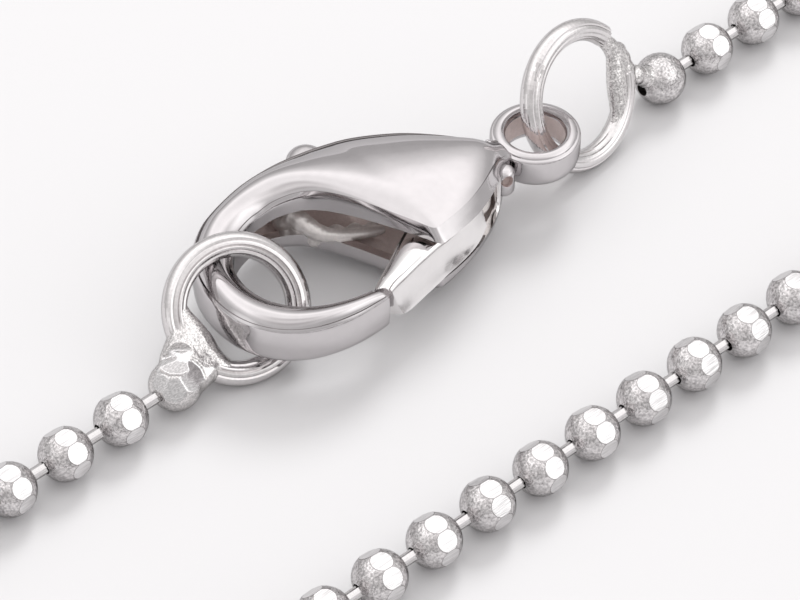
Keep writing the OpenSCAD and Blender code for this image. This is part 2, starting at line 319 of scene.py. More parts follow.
# one section, from the outer wall over the crown to the inner wall, and the same below:
# wall, band, fine groove, crown, fine groove, band, wall
sectionLook = {
    "crown": (0.10, 0.27, 0.48, 0.72, 0.92),  # where the crown's points lie across it, as shares
    "crownRound": 0.15,  # how much of the crown's arch is a half circle; the rest is a parabola
    "grooveDepth": 0.05,
    "grooveWidth": 0.02,
    "wallInset": 0.05,  # how far the top of the outer wall stands in
    "outerBand": 0.14,  # the widest that a band gets, as a share of the section's width
    "innerBand": 0.22,
    "outerSlope": 0.8,  # how steeply a band rises towards the crown
    "innerSlope": 1.1,
    "rimLean": 0.15,  # how far the wall of an open rim leans in towards the opening,
    "leanFrom": 0.25,  # from this height of the rim's end on, to the full in the next stretch
    "leanOver": 0.3,
    "rimIn": 0.4,  # where the ends of a flared wall's rims lie, as shares of the flare
    "rimOut": 0.3,
    "least": 1e-4,  # no point lies exactly in the middle, where loft couldn't scale it
}
ringPoints = 25
rimTopPoint, rimLowPoint = 12, 13
bandPoints = (1, 2, 3, 9, 10, 11)
creasePoints = bandPoints + tuple(ringPoints - point for point in bandPoints)
groovePairs = ((2, 3), (9, 10))
grooveStrips = [{a, b} for a, b in groovePairs] + [{ringPoints - a, ringPoints - b} for a, b in groovePairs]


def domeRing(width, heights, rims, bands, leaning, flare, peak):
    # heights are of the outer edge, the inner edge and the crown; peak is the crown's place as a share
    look = sectionLook
    outerH, innerH, crownH = heights
    rimTop, rimLow = rims
    half = width / 2
    if leaning is None:
        leaning = look["rimLean"] * clamped((rimTop - look["leanFrom"]) / look["leanOver"])
    outerIn = min(bands[0], look["outerBand"] * width)
    innerIn = min(bands[1], look["innerBand"] * width)
    outerTop = outerH + look["outerSlope"] * outerIn
    innerTop = innerH + look["innerSlope"] * innerIn
    rise = crownH - (outerTop + innerTop) / 2 + look["grooveDepth"]
    outerLow, innerLow = outerTop - look["grooveDepth"], innerTop - look["grooveDepth"]

    def upperHalf(edge):
        left, right = -half + outerIn + look["grooveWidth"], edge - innerIn - look["grooveWidth"]
        rows = [(-half + look["wallInset"], outerH), (-half + outerIn, outerTop), (left, outerLow)]
        for share in look["crown"]:
            off = (peak - share) / peak if share < peak else (share - peak) / (1 - peak)
            arch = look["crownRound"] * math.sqrt(1 - off ** 2) + (1 - look["crownRound"]) * (1 - off ** 2)
            base = outerLow + (innerTop - outerTop) * share
            rows.append((left + (right - left) * share, base + rise * arch))
        rows += [(right, innerLow), (edge - innerIn, innerTop), (edge, innerH)]
        return [(across if abs(across) > look["least"] else look["least"], up) for across, up in rows]

    low = [(across, -up) for across, up in reversed(upperHalf(half + flare))]
    rim = [(half - look["rimIn"] * flare, rimTop), (half + look["rimOut"] * flare, -rimLow)]
    return [(-half, 0.0)] + upperHalf(half - leaning) + rim + low


clasp = {
    "tail": 1.24,  # outer radius of the tail loop, where the shares start
    "reach": 11.1,  # middle of the tail loop to the bend of the hook
    "halfWidth": 3.1,
    "halfHeight": 1.32,
    "band": 0.11,  # bright band along the edges of the domes
    "place": (5.8, 4.08, 1.69),
    "turn": -6.1,
    "finer": 2,  # stations between two rows of the lists below
    "crownPlace": 0.5,  # the crown lies in the middle of the dome at the tail,
    "crownShift": 0.12,  # and this much nearer the outer edge on the way to the hook,
    "shiftFrom": 0.26,  # from this share of the length on, over this much of it
    "shiftOver": 0.12,
}
claspPlace = Matrix.Translation(clasp["place"]) @ turned(clasp["turn"], "Z")


def curveBetween(a, b, c, d, share):
    # a smooth curve through b and c, led by their neighbours
    return b + share * (c - a + share * (2 * a - 5 * b + 4 * c - d + share * (3 * (b - c) + d - a))) / 2


def finer(rows, steps):
    dense = []
    for k in range(len(rows) - 1):
        near = [rows[max(0, k - 1)], rows[k], rows[k + 1], rows[min(len(rows) - 1, k + 2)]]
        for step in range(steps):
            dense.append([curveBetween(*values, step / steps) for values in zip(*near)])
    return dense + [list(rows[-1])]


def claspStations(rows, rowHeight, band, leaning=None, flare=0.0, crownPlace=None):
    way = clasp["reach"] - clasp["tail"]
    stations = []
    for ox, oy, ix, iy, outerH, innerH, crownH, rimTop, rimLow, innerBand in finer(rows, clasp["finer"]):
        outer = (-clasp["tail"] - ox * way, oy * clasp["halfWidth"])
        inner = (-clasp["tail"] - ix * way, iy * clasp["halfWidth"])
        width = (Vector(inner) - Vector(outer)).length
        shifted = clamped((ix - clasp["shiftFrom"]) / clasp["shiftOver"])
        peak = crownPlace or clasp["crownPlace"] - clasp["crownShift"] * shifted
        heights = [height * rowHeight for height in (outerH, innerH, crownH)]
        ring = domeRing(width, heights, (rimTop, rimLow), (band, innerBand), leaning, flare, peak)
        stations.append((outer, inner, ring))
    return stations


def creaseEdges(piece, stationCount, points, amount):
    def along(edge):
        a, b = sorted(v.index for v in edge.verts)
        return b < ringPoints * stationCount and b - a == ringPoints and a % ringPoints in points
    crease(piece, along, amount)


# the faces in the fine grooves get the dark metal, as painted shade
def paintGrooveShade(piece, stationCount, slot):
    def inGroove(face):
        return (all(v.index < ringPoints * stationCount for v in face.verts)
                and {v.index % ringPoints for v in face.verts} in grooveStrips)
    paintFaces(piece, inGroove, slot)
    bpy.ops.mesh.select_mode(type="VERT")


# the cast body of the clasp

# outer edge x and y, inner edge x and y, half heights of outer edge, inner edge and crown,
# where the rims of the upper and lower shell end above and below the middle plane,
# and the width of the bright band along the inner edge
bodyRows = [
    (-0.020, 0.130, -0.020, -0.130, 0.36, 0.36, 0.42, 0.20, 0.20, 0.06),
    (0.018, 0.160, 0.022, -0.165, 0.38, 0.42, 0.60, 0.25, 0.25, 0.08),
    (0.058, 0.290, 0.066, -0.300, 0.42, 0.54, 0.82, 0.56, 0.56, 0.12),
    (0.122, 0.485, 0.135, -0.465, 0.44, 0.60, 0.95, 0.62, 0.62, 0.16),
    (0.201, 0.695, 0.214, -0.595, 0.44, 0.62, 1.02, 0.64, 0.64, 0.17),
    (0.302, 0.865, 0.290, -0.680, 0.44, 0.66, 1.05, 0.70, 0.64, 0.16),
    (0.358, 0.928, 0.346, -0.728, 0.44, 0.68, 1.05, 0.74, 0.62, 0.17),
    (0.385, 0.947, 0.376, -0.736, 0.44, 0.69, 1.05, 0.75, 0.60, 0.17),
    (0.412, 0.965, 0.396, -0.600, 0.44, 0.71, 1.05, 0.72, 0.62, 0.16),
    (0.465, 0.992, 0.436, -0.330, 0.44, 0.73, 1.05, 0.66, 0.64, 0.15),
    (0.544, 1.010, 0.484, -0.010, 0.44, 0.74, 1.03, 0.56, 0.64, 0.15),
    (0.623, 1.000, 0.536, 0.265, 0.43, 0.71, 0.99, 0.46, 0.60, 0.14),
    (0.702, 0.960, 0.590, 0.425, 0.42, 0.65, 0.93, 0.40, 0.52, 0.13),
    (0.786, 0.870, 0.660, 0.500, 0.41, 0.56, 0.86, 0.32, 0.42, 0.12),
    (0.835, 0.800, 0.703, 0.505, 0.41, 0.49, 0.82, 0.24, 0.34, 0.11),
    (0.872, 0.735, 0.744, 0.490, 0.40, 0.46, 0.79, 0.20, 0.28, 0.11),
    (0.938, 0.548, 0.822, 0.375, 0.39, 0.41, 0.72, 0.18, 0.22, 0.11),
    (0.989, 0.262, 0.880, 0.150, 0.38, 0.39, 0.68, 0.18, 0.18, 0.11),
    (1.007, -0.100, 0.892, -0.130, 0.38, 0.38, 0.65, 0.18, 0.18, 0.10),
    (0.989, -0.445, 0.870, -0.380, 0.38, 0.38, 0.64, 0.18, 0.18, 0.10),
    (0.932, -0.730, 0.822, -0.575, 0.38, 0.38, 0.63, 0.18, 0.18, 0.10),
    (0.844, -0.915, 0.760, -0.695, 0.38, 0.38, 0.63, 0.18, 0.18, 0.10),
    (0.730, -0.993, 0.697, -0.755, 0.38, 0.38, 0.60, 0.18, 0.18, 0.09),
    (0.640, -0.978, 0.650, -0.778, 0.38, 0.38, 0.54, 0.18, 0.18, 0.08),
    (0.597, -0.958, 0.627, -0.782, 0.37, 0.37, 0.48, 0.18, 0.18, 0.06),
]

bodyLook = {
    "wall": 0.24,  # metal thickness of the shells
    "wallClamp": 0.8,
    "openFrom": 4,  # first and last station of the opening between the shells
    "openTo": 30,
    "slotFrom": 8,  # first and last station of the slot that the thumb tab comes out of
    "slotTo": 20,
    "endWall": 0.75,  # how far the hollow's end wall reaches back, as a share of the width
    "endGrowth": 2.2,  # and how many times as high it is at its back
    "crease": 0.85,  # along the bands and rims
    "endCrease": 0.9,  # round the hook's end
    "outerCrease": 0.6,  # along the shells' cut edges
    "innerCrease": 0.5,
    "levels": 2,
}


def makeShell():
    look = bodyLook
    rows = claspStations(bodyRows, clasp["halfHeight"], clasp["band"])
    shell = loft("claspShell", rows)
    # each outside metal is followed by its inside one, a warmer, duller copy painted as shade and reflection
    # of the hollows; the last, a lighter copy painted as highlight, is for the cut edges
    addMetals(shell, castMetal, castInsideShade, grooveShadeMetal, castInsideShade, highlightMetal)
    grooveShadeSlot, rimHighlightSlot = 2, 4

    def between(face, points, first, last):
        where = [v.index // ringPoints for v in face.verts]
        return (len(face.verts) == 4 and {v.index % ringPoints for v in face.verts} in points
                and min(where) >= first and max(where) <= last)

    def isOpen(face):
        return (between(face, [{rimTopPoint, rimLowPoint}], look["openFrom"], look["openTo"])
                or between(face, [{0, 1}, {0, ringPoints - 1}], look["slotFrom"], look["slotTo"]))

    creaseEdges(shell, len(rows), creasePoints + (rimTopPoint, rimLowPoint), look["crease"])
    paintGrooveShade(shell, len(rows), grooveShadeSlot)
    last = ringPoints * (len(rows) - 1)
    crease(shell, lambda e: all(v.index >= last for v in e.verts), look["endCrease"])
    pick(shell, isOpen, "faces")
    bpy.ops.mesh.delete(type="ONLY_FACE")
    # the hollow ends in a wall that turns in from the hook's inner side
    outer, inner, ring = rows[look["openTo"]]
    back = (Vector(outer) - Vector(inner)) * look["endWall"]
    corner = {look["openTo"] * ringPoints + point for point in (rimTopPoint, rimLowPoint)}
    pick(shell, lambda e: {v.index for v in e.verts} == corner, "edges")
    bpy.ops.mesh.extrude_region_move(TRANSFORM_OT_translate={"value": (back.x, back.y, 0)})
    bpy.ops.transform.resize(value=(1, 1, look["endGrowth"]), center_override=(0, 0, 0))
    objectMode()
    useModifier(shell, "SOLIDIFY", thickness=look["wall"], offset=-1, use_even_offset=False,
                thickness_clamp=look["wallClamp"], material_offset=1, material_offset_rim=rimHighlightSlot,
                edge_crease_outer=look["outerCrease"], edge_crease_inner=look["innerCrease"],
                edge_crease_rim=0.0)
    smooth(shell, look["levels"])
    return shell


tailLook = {
    "hole": 0.84,
    # radius and height of each point of the loop's section
    "profile": [
        (0.84, 0.10), (0.84, 0.40), (0.865, 0.50), (0.93, 0.56), (1.03, 0.575), (1.12, 0.55),
        (1.165, 0.515), (1.18, 0.475), (1.235, 0.465), (1.275, 0.43), (1.285, 0.36), (1.285, 0.05),
        (1.27, -0.25), (1.20, -0.47), (1.03, -0.55), (0.88, -0.53), (0.84, -0.42),
    ],
    "grooveAt": (1.165, 1.18),  # radii of the sharp edges round the top
    "crease": 0.8,
    "steps": 48,
    "post": (-1.56, -0.62, -0.02),  # middle of the round post beside the neck
    "postRadius": 0.31,
    "postHeight": 0.92,
    "postRound": 0.20,
    "pitRadius": 0.17,
    "pitDepth": 0.3,
    "pitWay": (-0.22, -0.84, 0.48),  # the way that the pit faces
}


def makeTailLoop():
    # a section drawn and spun round the hole
    points = tailLook["profile"]
    bpy.ops.mesh.primitive_circle_add(vertices=len(points), radius=1)
    loop = named("tailLoop")
    addMetals(loop, castMetal, castInsideShade)
    for vertex, (r, z) in zip(loop.data.vertices, points):
        vertex.co = (r, 0, z)

    def isSharp(edge):
        return any(all(abs(math.hypot(v.co.x, v.co.y) - radius) < 0.002 for v in edge.verts)
                   for radius in tailLook["grooveAt"])

    editPiece(loop)
    pickAll()
    bpy.ops.mesh.spin(steps=tailLook["steps"], angle=math.tau, center=(0, 0, 0), axis=(0, 0, 1))
    pickAll()
    bpy.ops.mesh.remove_doubles(threshold=0.001)
    bpy.ops.mesh.normals_make_consistent(inside=False)
    crease(loop, isSharp, tailLook["crease"])
    # the bore gets the inside copy of the metal, painted shade and reflection
    paintFaces(loop, lambda f: math.hypot(*f.calc_center_median().xy) < tailLook["hole"] + 0.004, 1)
    objectMode()
    smooth(loop, 1)
    return loop


def makePost():
    x, y, z = tailLook["post"]
    post = cylinder("neckPost", 32, tailLook["postRadius"], tailLook["postHeight"], (x, y, z))
    addMetals(post, castMetal, castInsideShade)
    useModifier(post, "BEVEL", width=tailLook["postRound"], segments=6, limit_method="ANGLE", angle_limit=0.9)
    way = Vector(tailLook["pitWay"]).normalized()
    mouth = Vector((x, y, 0.0)) + way * tailLook["postRadius"]
    drill = cylinder("pitDrill", 24, tailLook["pitRadius"], 2 * tailLook["pitDepth"], mouth,
                     way.to_track_quat("Z", "Y").to_euler())
    addMetals(drill, castInsideShade)
    useModifier(post, "BOOLEAN", object=drill, operation="DIFFERENCE", solver="EXACT",
                material_mode="TRANSFER")
    bpy.data.objects.remove(drill)
    return post


# small beads of casting metal along the joint of the dome and the tail loop
seamLook = {
    "from": (-1.36, 0.42),
    "to": (-1.52, -0.42),
    "height": 0.52,
    "bulge": 0.10,  # how much higher the row is in its middle
    "count": 9,
    "size": 0.062,
    "sizes": (0.8, 1.25),
    "wander": 0.03,
    "seed": 5,
}


def makeSeam():
    look = seamLook
    draw = random.Random(look["seed"])
    start, end = Vector(look["from"]), Vector(look["to"])
    blobs = []
    for step in range(look["count"]):
        share = step / (look["count"] - 1)
        place = start.lerp(end, share)
        height = look["height"] + look["bulge"] * math.sin(math.pi * share)
        blobs.append(ball((place.x + draw.uniform(-look["wander"], look["wander"]), place.y, height),
                          look["size"] * draw.uniform(*look["sizes"]), detail=2))
    seam = joinPieces(blobs, "castSeam")
    addMetals(seam, castMetal)
    return seam


rampLook = {
    # x, y, z and radius of each blob along the cast ramp on the floor of the hollow
    "blobs": [
        (-7.02, 1.86, -0.18, 0.30), (-6.93, 1.56, -0.26, 0.30), (-6.82, 1.30, -0.36, 0.28),
        (-6.68, 1.08, -0.45, 0.25), (-6.52, 0.94, -0.53, 0.23), (-6.36, 0.84, -0.57, 0.21),
        (-6.20, 0.75, -0.60, 0.20), (-6.04, 0.67, -0.62, 0.19), (-5.88, 0.60, -0.63, 0.19),
        (-5.72, 0.53, -0.64, 0.18), (-5.56, 0.47, -0.65, 0.18), (-5.40, 0.42, -0.66, 0.17),
        (-5.24, 0.37, -0.67, 0.16), (-5.08, 0.33, -0.69, 0.15), (-7.10, 2.10, -0.55, 0.38),
        (-6.90, 1.70, -0.75, 0.38), (-6.62, 1.32, -0.80, 0.34), (-6.10, 1.05, -0.85, 0.30),
        (-5.60, 0.85, -0.86, 0.26), (-5.15, 0.65, -0.88, 0.24),
    ],
    "voxel": 0.06,
    "softer": 8,
}


def makeRamp():
    blobs = [ball((x, y, z), radius) for x, y, z, radius in rampLook["blobs"]]
    ramp = joinPieces(blobs, "castRamp")
    useModifier(ramp, "REMESH", mode="VOXEL", voxel_size=rampLook["voxel"], use_smooth_shade=True)
    useModifier(ramp, "SMOOTH", factor=0.5, iterations=rampLook["softer"])
    addMetals(ramp, armMetal)
    return ramp


body = joinPieces([makeShell(), makeTailLoop(), makePost(), makeSeam(), makeRamp()], "claspBody")
shadeRound(body)
settle(body, claspPlace)
hand(body, "necklace", "clasp_metal", "clasp_body")


# the lever with its gate, hub, arm and thumb tab

# the columns are the body's; here the outer edge is the one beside the opening
gateRows = [
    (0.156, 0.100, 0.158, -0.440, 0.60, 0.62, 0.72, 0.08, 0.2, 0.08),
    (0.218, -0.020, 0.218, -0.575, 0.60, 0.68, 0.76, 0.08, 0.2, 0.08),
    (0.296, -0.130, 0.294, -0.665, 0.60, 0.74, 0.78, 0.08, 0.2, 0.08),
    (0.366, -0.240, 0.358, -0.716, 0.60, 0.78, 0.84, 0.08, 0.2, 0.08),
    (0.400, -0.300, 0.388, -0.745, 0.68, 0.80, 1.00, 0.08, 0.2, 0.08),
    (0.454, -0.415, 0.448, -0.800, 0.72, 0.82, 1.06, 0.08, 0.2, 0.08),
    (0.522, -0.560, 0.510, -0.862, 0.72, 0.80, 1.04, 0.08, 0.2, 0.08),
    (0.576, -0.668, 0.540, -0.888, 0.74, 0.78, 1.02, 0.08, 0.2, 0.08),
    (0.611, -0.745, 0.562, -0.905, 0.66, 0.70, 0.86, 0.08, 0.2, 0.06),
]

leverLook = {
    "halfHeight": 0.57,
    "lean": 0.16,  # how far the front wall leans in at its top
    "flare": 0.16,  # and out at its foot
    "band": 0.07,
    "crownPlace": 0.64,  # nearer the front wall, so that the crown swings clear of the body's rim
    "crease": 0.9,
    "endCrease": 0.95,
    "levels": 2,
    "pivot": (-2.719, -0.279),
    "hubRadius": 0.78,
    "hubGap": 0.12,  # how much lower the hub is than the gate
    "hubRound": 0.08,
    "bend": (-4.445, 1.40),
    "end": (-5.657, 3.10),
    "armWidth": 0.6,
    "armHeight": 0.74,
    "armRound": 0.16,
    "armOverlap": 0.3,  # how much longer each bar is than its run
    "tabRadius": 0.57,
    "tabHeight": 0.92,
    "tabRound": 0.40,
}


def makeBar(name, start, end):
    look = leverLook
    run = Vector(end) - Vector(start)
    middle = (Vector(start) + Vector(end)) / 2
    bpy.ops.mesh.primitive_cube_add(
        size=1, location=(middle.x, middle.y, 0), rotation=(0, 0, math.atan2(run.y, run.x)))
    bar = named(name)
    bar.scale = (run.length + look["armOverlap"], look["armWidth"], look["armHeight"])
    applyPlace(bar)
    useModifier(bar, "BEVEL", width=look["armRound"], segments=4)
    addMetals(bar, armMetal)
    return bar


def makeGate():
    look = leverLook
    rows = claspStations(gateRows, look["halfHeight"], look["band"], look["lean"], look["flare"],
                         look["crownPlace"])
    gate = loft("gate", rows)
    addMetals(gate, highlightMetal, grooveShadeMetal)
    creaseEdges(gate, len(rows), creasePoints, look["crease"])
    paintGrooveShade(gate, len(rows), 1)
    last = ringPoints * (len(rows) - 1)

    def atEnd(edge):
        where = [v.index for v in edge.verts]
        return min(where) >= last or max(where) < ringPoints

    crease(gate, atEnd, look["endCrease"])
    objectMode()
    smooth(gate, look["levels"])
    return gate


def makeDisc(name, place, radius, height, sides, rounding, segments, metal):
    disc = cylinder(name, sides, radius, height, (*place, 0))
    useModifier(disc, "BEVEL", width=rounding, segments=segments, limit_method="ANGLE")
    addMetals(disc, metal)
    return disc


def makeLever():
    look = leverLook
    gate = makeGate()
    hub = makeDisc("hub", look["pivot"], look["hubRadius"], 2 * look["halfHeight"] - look["hubGap"], 48,
                   look["hubRound"], 3, armMetal)
    arm = makeBar("arm", look["pivot"], look["bend"])
    reach = makeBar("reach", look["bend"], look["end"])
    tab = makeDisc("thumbTab", look["end"], look["tabRadius"], look["tabHeight"], 40,
                   look["tabRound"], 9, tabMetal)
    return joinPieces([gate, hub, arm, reach, tab], "lever")


lever = makeLever()
shadeRound(lever)
settle(lever, claspPlace)
hand(lever, "lever", "lever_metal", "clasp_lever")


# jump rings with their solder and end balls

wireLook = {
    "sides": 48,
    "grooveReach": 0.035,  # half the width of a groove, as a share of the wire
    "step": 3.6,  # degrees between two sections round the ring
    "endRound": 0.05,
}


def makeWireRing(name, radius, wire, start, sweep, grooves):
    # the section of the wire is a circle with fine lengthwise grooves, spun round Y
    look = wireLook
    bpy.ops.mesh.primitive_circle_add(vertices=look["sides"], radius=wire / 2, location=(radius, 0, 0))
    ring = named(name)
    applyPlace(ring)
    editPiece(ring)
    for degrees, depth in grooves:
        angle = math.radians(degrees)
        spot = Vector((radius + wire / 2 * math.cos(angle), wire / 2 * math.sin(angle), 0))
        pick(ring, lambda v: (v.co - spot).length < wire * look["grooveReach"])
        bpy.ops.transform.resize(value=[1 - 2 * depth / wire] * 3, center_override=(radius, 0, 0))
    objectMode()
    ring.rotation_euler = (0, -math.radians(start), 0)
    applyPlace(ring)
    editPiece(ring)
    pickAll()
    whole = sweep == 360
    if not whole:
        bpy.ops.mesh.edge_face_add()
    steps = round(sweep / look["step"])
    bpy.ops.mesh.spin(steps=steps, angle=math.radians(sweep), center=(0, 0, 0), axis=(0, 1, 0))
    pickAll()
    bpy.ops.mesh.remove_doubles(threshold=0.002)
    bpy.ops.mesh.normals_make_consistent(inside=False)
    objectMode()
    if not whole:
        useModifier(ring, "BEVEL", width=look["endRound"], segments=3, limit_method="ANGLE", angle_limit=1.2)
    addMetals(ring, wireMetal)
    return ring


def onRing(radius, degrees, out=0.0, back=0.0):
    a = math.radians(degrees)
    return Vector(((radius + out) * math.cos(a), back, (radius + out) * math.sin(a)))


def flatten(piece, spot, way, reach):
    # presses what stands out past a plane, near the spot, onto the plane, and brightens the flat
    editPiece(piece)
    pick(piece, lambda v: (v.co - spot).dot(way) > 0 and (v.co - spot).length < reach)
    across = way.to_track_quat("Z", "Y").to_matrix()
    bpy.ops.transform.resize(value=(1, 1, 0.02), orient_type="GLOBAL", orient_matrix=across,
                             orient_matrix_type="GLOBAL", center_override=spot)

    def isFlat(face):
        place = face.calc_center_median() - spot
        return face.normal.dot(way) > 0.985 and place.length < reach and abs(place.dot(way)) < 0.02

    paintFaces(piece, isFlat, 1)
    objectMode()


def makeSolder(name, blobs, voxel, grain, grainSize, softer):
    # blobs of metal run together, smoothed, and roughened by a fine cloud
    solder = joinPieces([ball(place, size, squash) for place, size, squash in blobs], name)
    useModifier(solder, "REMESH", mode="VOXEL", voxel_size=voxel, use_smooth_shade=True)
    useModifier(solder, "SMOOTH", factor=0.5, iterations=softer)
    cloud = bpy.data.textures.new(name + "Grain", "CLOUDS")
    cloud.noise_scale = grainSize
    cloud.noise_depth = 3
    useModifier(solder, "DISPLACE", texture=cloud, strength=grain, mid_level=0.5, texture_coords="LOCAL")
    addMetals(solder, solderMetal, flatMetal)
    return solder


def ringPlace(look):
    return Matrix.Translation(look["place"]) @ turned(look["yaw"], "Z") @ turned(-look["lean"], "X")


plainBall = (1, 1, 1)
ballRadius = 0.75
tailBall = Vector((11.06, 4.4, 0.75))
hookBall = Vector((-7.125, 4.4, 0.75))

tailRing = {
    "radius": 1.88,
    "wire": 0.64,
    "cut": 33,  # the ring's own angle where the wire ends
    "sweep": 319,
    "grooves": [(-62, 0.024), (-98, 0.016), (-130, 0.024)],  # angle on the wire's section, and depth
    "nick": (131, -62),  # ring angle and section angle of a nick in the wire
    "dents": [((0, 0, 0), 0.06), ((0.08, 0, 0.16), 0.035)],  # offset from the nick, and depth
    "dentReach": 0.12,
    "place": (7.81, 4.45, 2.037),
    "lean": 24,
    "yaw": 7,
    # the solder over the cut: ring angle, distance out from the wire, and radius of each blob
    "solder": [
        (33, -0.12, 0.23), (28, -0.10, 0.25), (22, -0.10, 0.27), (16, -0.10, 0.29), (9, -0.14, 0.31),
        (2, -0.22, 0.34), (-6, -0.28, 0.36), (-14, -0.32, 0.37), (-22, -0.32, 0.37), (-30, -0.28, 0.36),
        (-38, -0.22, 0.34), (-46, -0.14, 0.31), (-54, -0.08, 0.29), (-61, -0.03, 0.27),
    ],
    "solderBack": -0.05,
    "solderSquash": (1, 0.72, 1),
    "crust": [(10, 0.27), (2, 0.30), (-8, 0.33), (-18, 0.33), (-28, 0.30), (-38, 0.27)],  # angle and radius
    "crustOut": 0.08,
    "crustSquash": (1, 0.85, 1),
    "neckStart": (-13, 0.2),  # ring angle and distance out
    "neck": [(0.22, 0.30), (0.42, 0.30), (0.60, 0.36)],  # share of the way to the ball, and radius
    "voxel": 0.03,
    "grain": 0.018,
    "grainSize": 0.12,
    "softer": 25,
}
tailPlace = ringPlace(tailRing)

hookRing = {
    "radius": 1.75,
    "wire": 0.70,
    "grooves": [(-68, 0.030), (-98, 0.045), (-124, 0.030)],
    "place": (-4.60, 4.79, 1.655),
    "lean": 42,
    "yaw": -17,
    "solder": [
        (160, -0.04, 0.33), (168, -0.10, 0.36), (177, -0.18, 0.40), (186, -0.26, 0.43), (195, -0.31, 0.45),
        (204, -0.32, 0.45), (213, -0.28, 0.44), (222, -0.20, 0.42), (231, -0.12, 0.39), (240, -0.05, 0.36),
    ],
    "solderSquash": (1, 0.85, 1),
    "saddle": (170, 236),  # between these ring angles the solder runs on to the ball
    "neck": [(0.22, 0.40), (0.42, 0.45), (0.62, 0.52)],
    "voxel": 0.035,
    "grain": 0.06,
    "grainSize": 0.5,
    "softer": 30,
    # flats pressed into the solder and the end ball: ring angle, share of the way to the ball,
    # distance out, the way that the flat faces, and its reach
    "pressed": [
        (204, 0.66, 0.56, (-0.07, -0.08, 0.99), 0.45),
        (186, 0.60, 0.45, (-0.52, -0.42, 0.74), 0.45),
        (232, 0.14, 0.36, (0.09, -0.74, 0.66), 0.50),
        (200, 1.00, 0.62, (0.30, -0.68, 0.67), 0.55),
        (200, 1.00, 0.64, (-0.57, -0.63, 0.53), 0.55),
        (200, 1.00, 0.67, (-0.75, -0.05, 0.66), 0.45),
        (200, 1.00, 0.66, (-0.20, 0.30, 0.93), 0.45),
        (200, 1.00, 0.742, (0.0, 0.0, -1.0), 0.6),
    ],
    "pressedIn": -0.2,  # where on the ring the way to the ball starts, for those flats
    "edgeSofter": 4,
}
hookPlace = ringPlace(hookRing)


def makeTailRing():
    look = tailRing
    wire = makeWireRing("tailWire", look["radius"], look["wire"], look["cut"], look["sweep"], look["grooves"])
    nick, section = look["nick"]
    spot = onRing(look["radius"], nick, look["wire"] / 2 * math.cos(math.radians(section)),
                  look["wire"] / 2 * math.sin(math.radians(section)))
    editPiece(wire)
    for offset, depth in look["dents"]:
        pick(wire, lambda v: (v.co - spot - Vector(offset)).length < look["dentReach"])
        bpy.ops.transform.translate(value=(onRing(look["radius"], nick) - spot).normalized() * depth)
    objectMode()
    blobs = []
    for degrees, out, size in look["solder"]:
        blobs.append((onRing(look["radius"], degrees, out, look["solderBack"]), size, look["solderSquash"]))
    for degrees, size in look["crust"]:
        blobs.append((onRing(look["radius"], degrees, look["crustOut"]), size, look["crustSquash"]))
    target = tailPlace.inverted() @ tailBall
    start = onRing(look["radius"], *look["neckStart"])
    for share, size in look["neck"]:
        blobs.append((start.lerp(target, share), size, plainBall))
    solder = makeSolder("tailSolder", blobs, look["voxel"], look["grain"], look["grainSize"], look["softer"])
    return joinPieces([wire, solder], "tailJumpRing")


def makeHookRing():
    look = hookRing
    wire = makeWireRing("hookWire", look["radius"], look["wire"], 0, 360, look["grooves"])
    target = hookPlace.inverted() @ hookBall
    blobs = []
    for degrees, out, size in look["solder"]:
        place = onRing(look["radius"], degrees, out)
        blobs.append((place, size, look["solderSquash"]))
        if look["saddle"][0] < degrees < look["saddle"][1]:
            for share, grown in look["neck"]:
                blobs.append((place.lerp(target, share), grown, plainBall))
    blobs.append((target, ballRadius - 0.01, plainBall))
    solder = makeSolder("hookSolder", blobs, look["voxel"], look["grain"], look["grainSize"], look["softer"])
    turnIn = hookPlace.to_3x3().inverted()
    for degrees, share, out, way, reach in look["pressed"]:
        way = (turnIn @ Vector(way)).normalized()
        start = onRing(look["radius"], degrees, look["pressedIn"] * (1 - share))
        flatten(solder, start.lerp(target, share) + way * out, way, reach)
    useModifier(solder, "SMOOTH", factor=0.5, iterations=look["edgeSofter"])
    return joinPieces([wire, solder], "hookJumpRing")


# beads and links

bead = {
    "radius": 0.75,
    "pitch": 1.9,
    "flat": 0.6829,  # middle of the bead to a flat
    "flats": 8,
    "hole": 0.192,
    "dimple": 0.2,  # how deep the metal goes in at a hole
    "dimpleTaper": 0.96,
    # the bevel round each flat is painted dark, as painted shade along its edge
    "edgeShadeWidth": 0.011,  # width of the dark line round each flat
    "lean": 7,
    "roll": 4,  # how many degrees a bead is rolled and tipped at random, either way
    "tip": 5,
    "links": 226,
    "half": 113,
    "fineDetail": (48, 28),  # segments and rings, for the beads near the camera, the others and the end ball
    "coarseDetail": (8, 6),
    "endDetail": (64, 40),
    "endFlat": 0.749,
}

# the chain's way from the tail ball: length of a straight row or radius of a bend, and its turn in degrees
route = [
    (9.44, 0), (30.017, 52), (25.885, -284), (30.017, 52),
    (41, 0), (30.017, 52), (25.885, -284), (30.017, 52), (13.375, 0),
]


def onRoute(way):
    place, heading = Vector((tailBall.x, tailBall.y)), 0.0
    for size, turn in route:
        length = size if turn == 0 else abs(math.radians(turn)) * size
        run = min(way, length)
        if turn == 0:
            place = place + Vector((math.cos(heading), math.sin(heading))) * run
        else:
            side = math.copysign(1, turn)
            angle = side * run / size
            middle = place + Vector((-math.sin(heading), math.cos(heading))) * size * side
            arm = place - middle
            place = middle + Matrix.Rotation(angle, 2) @ arm
            heading += angle
        way -= run
        if way <= 1e-9:
            break
    return place, heading


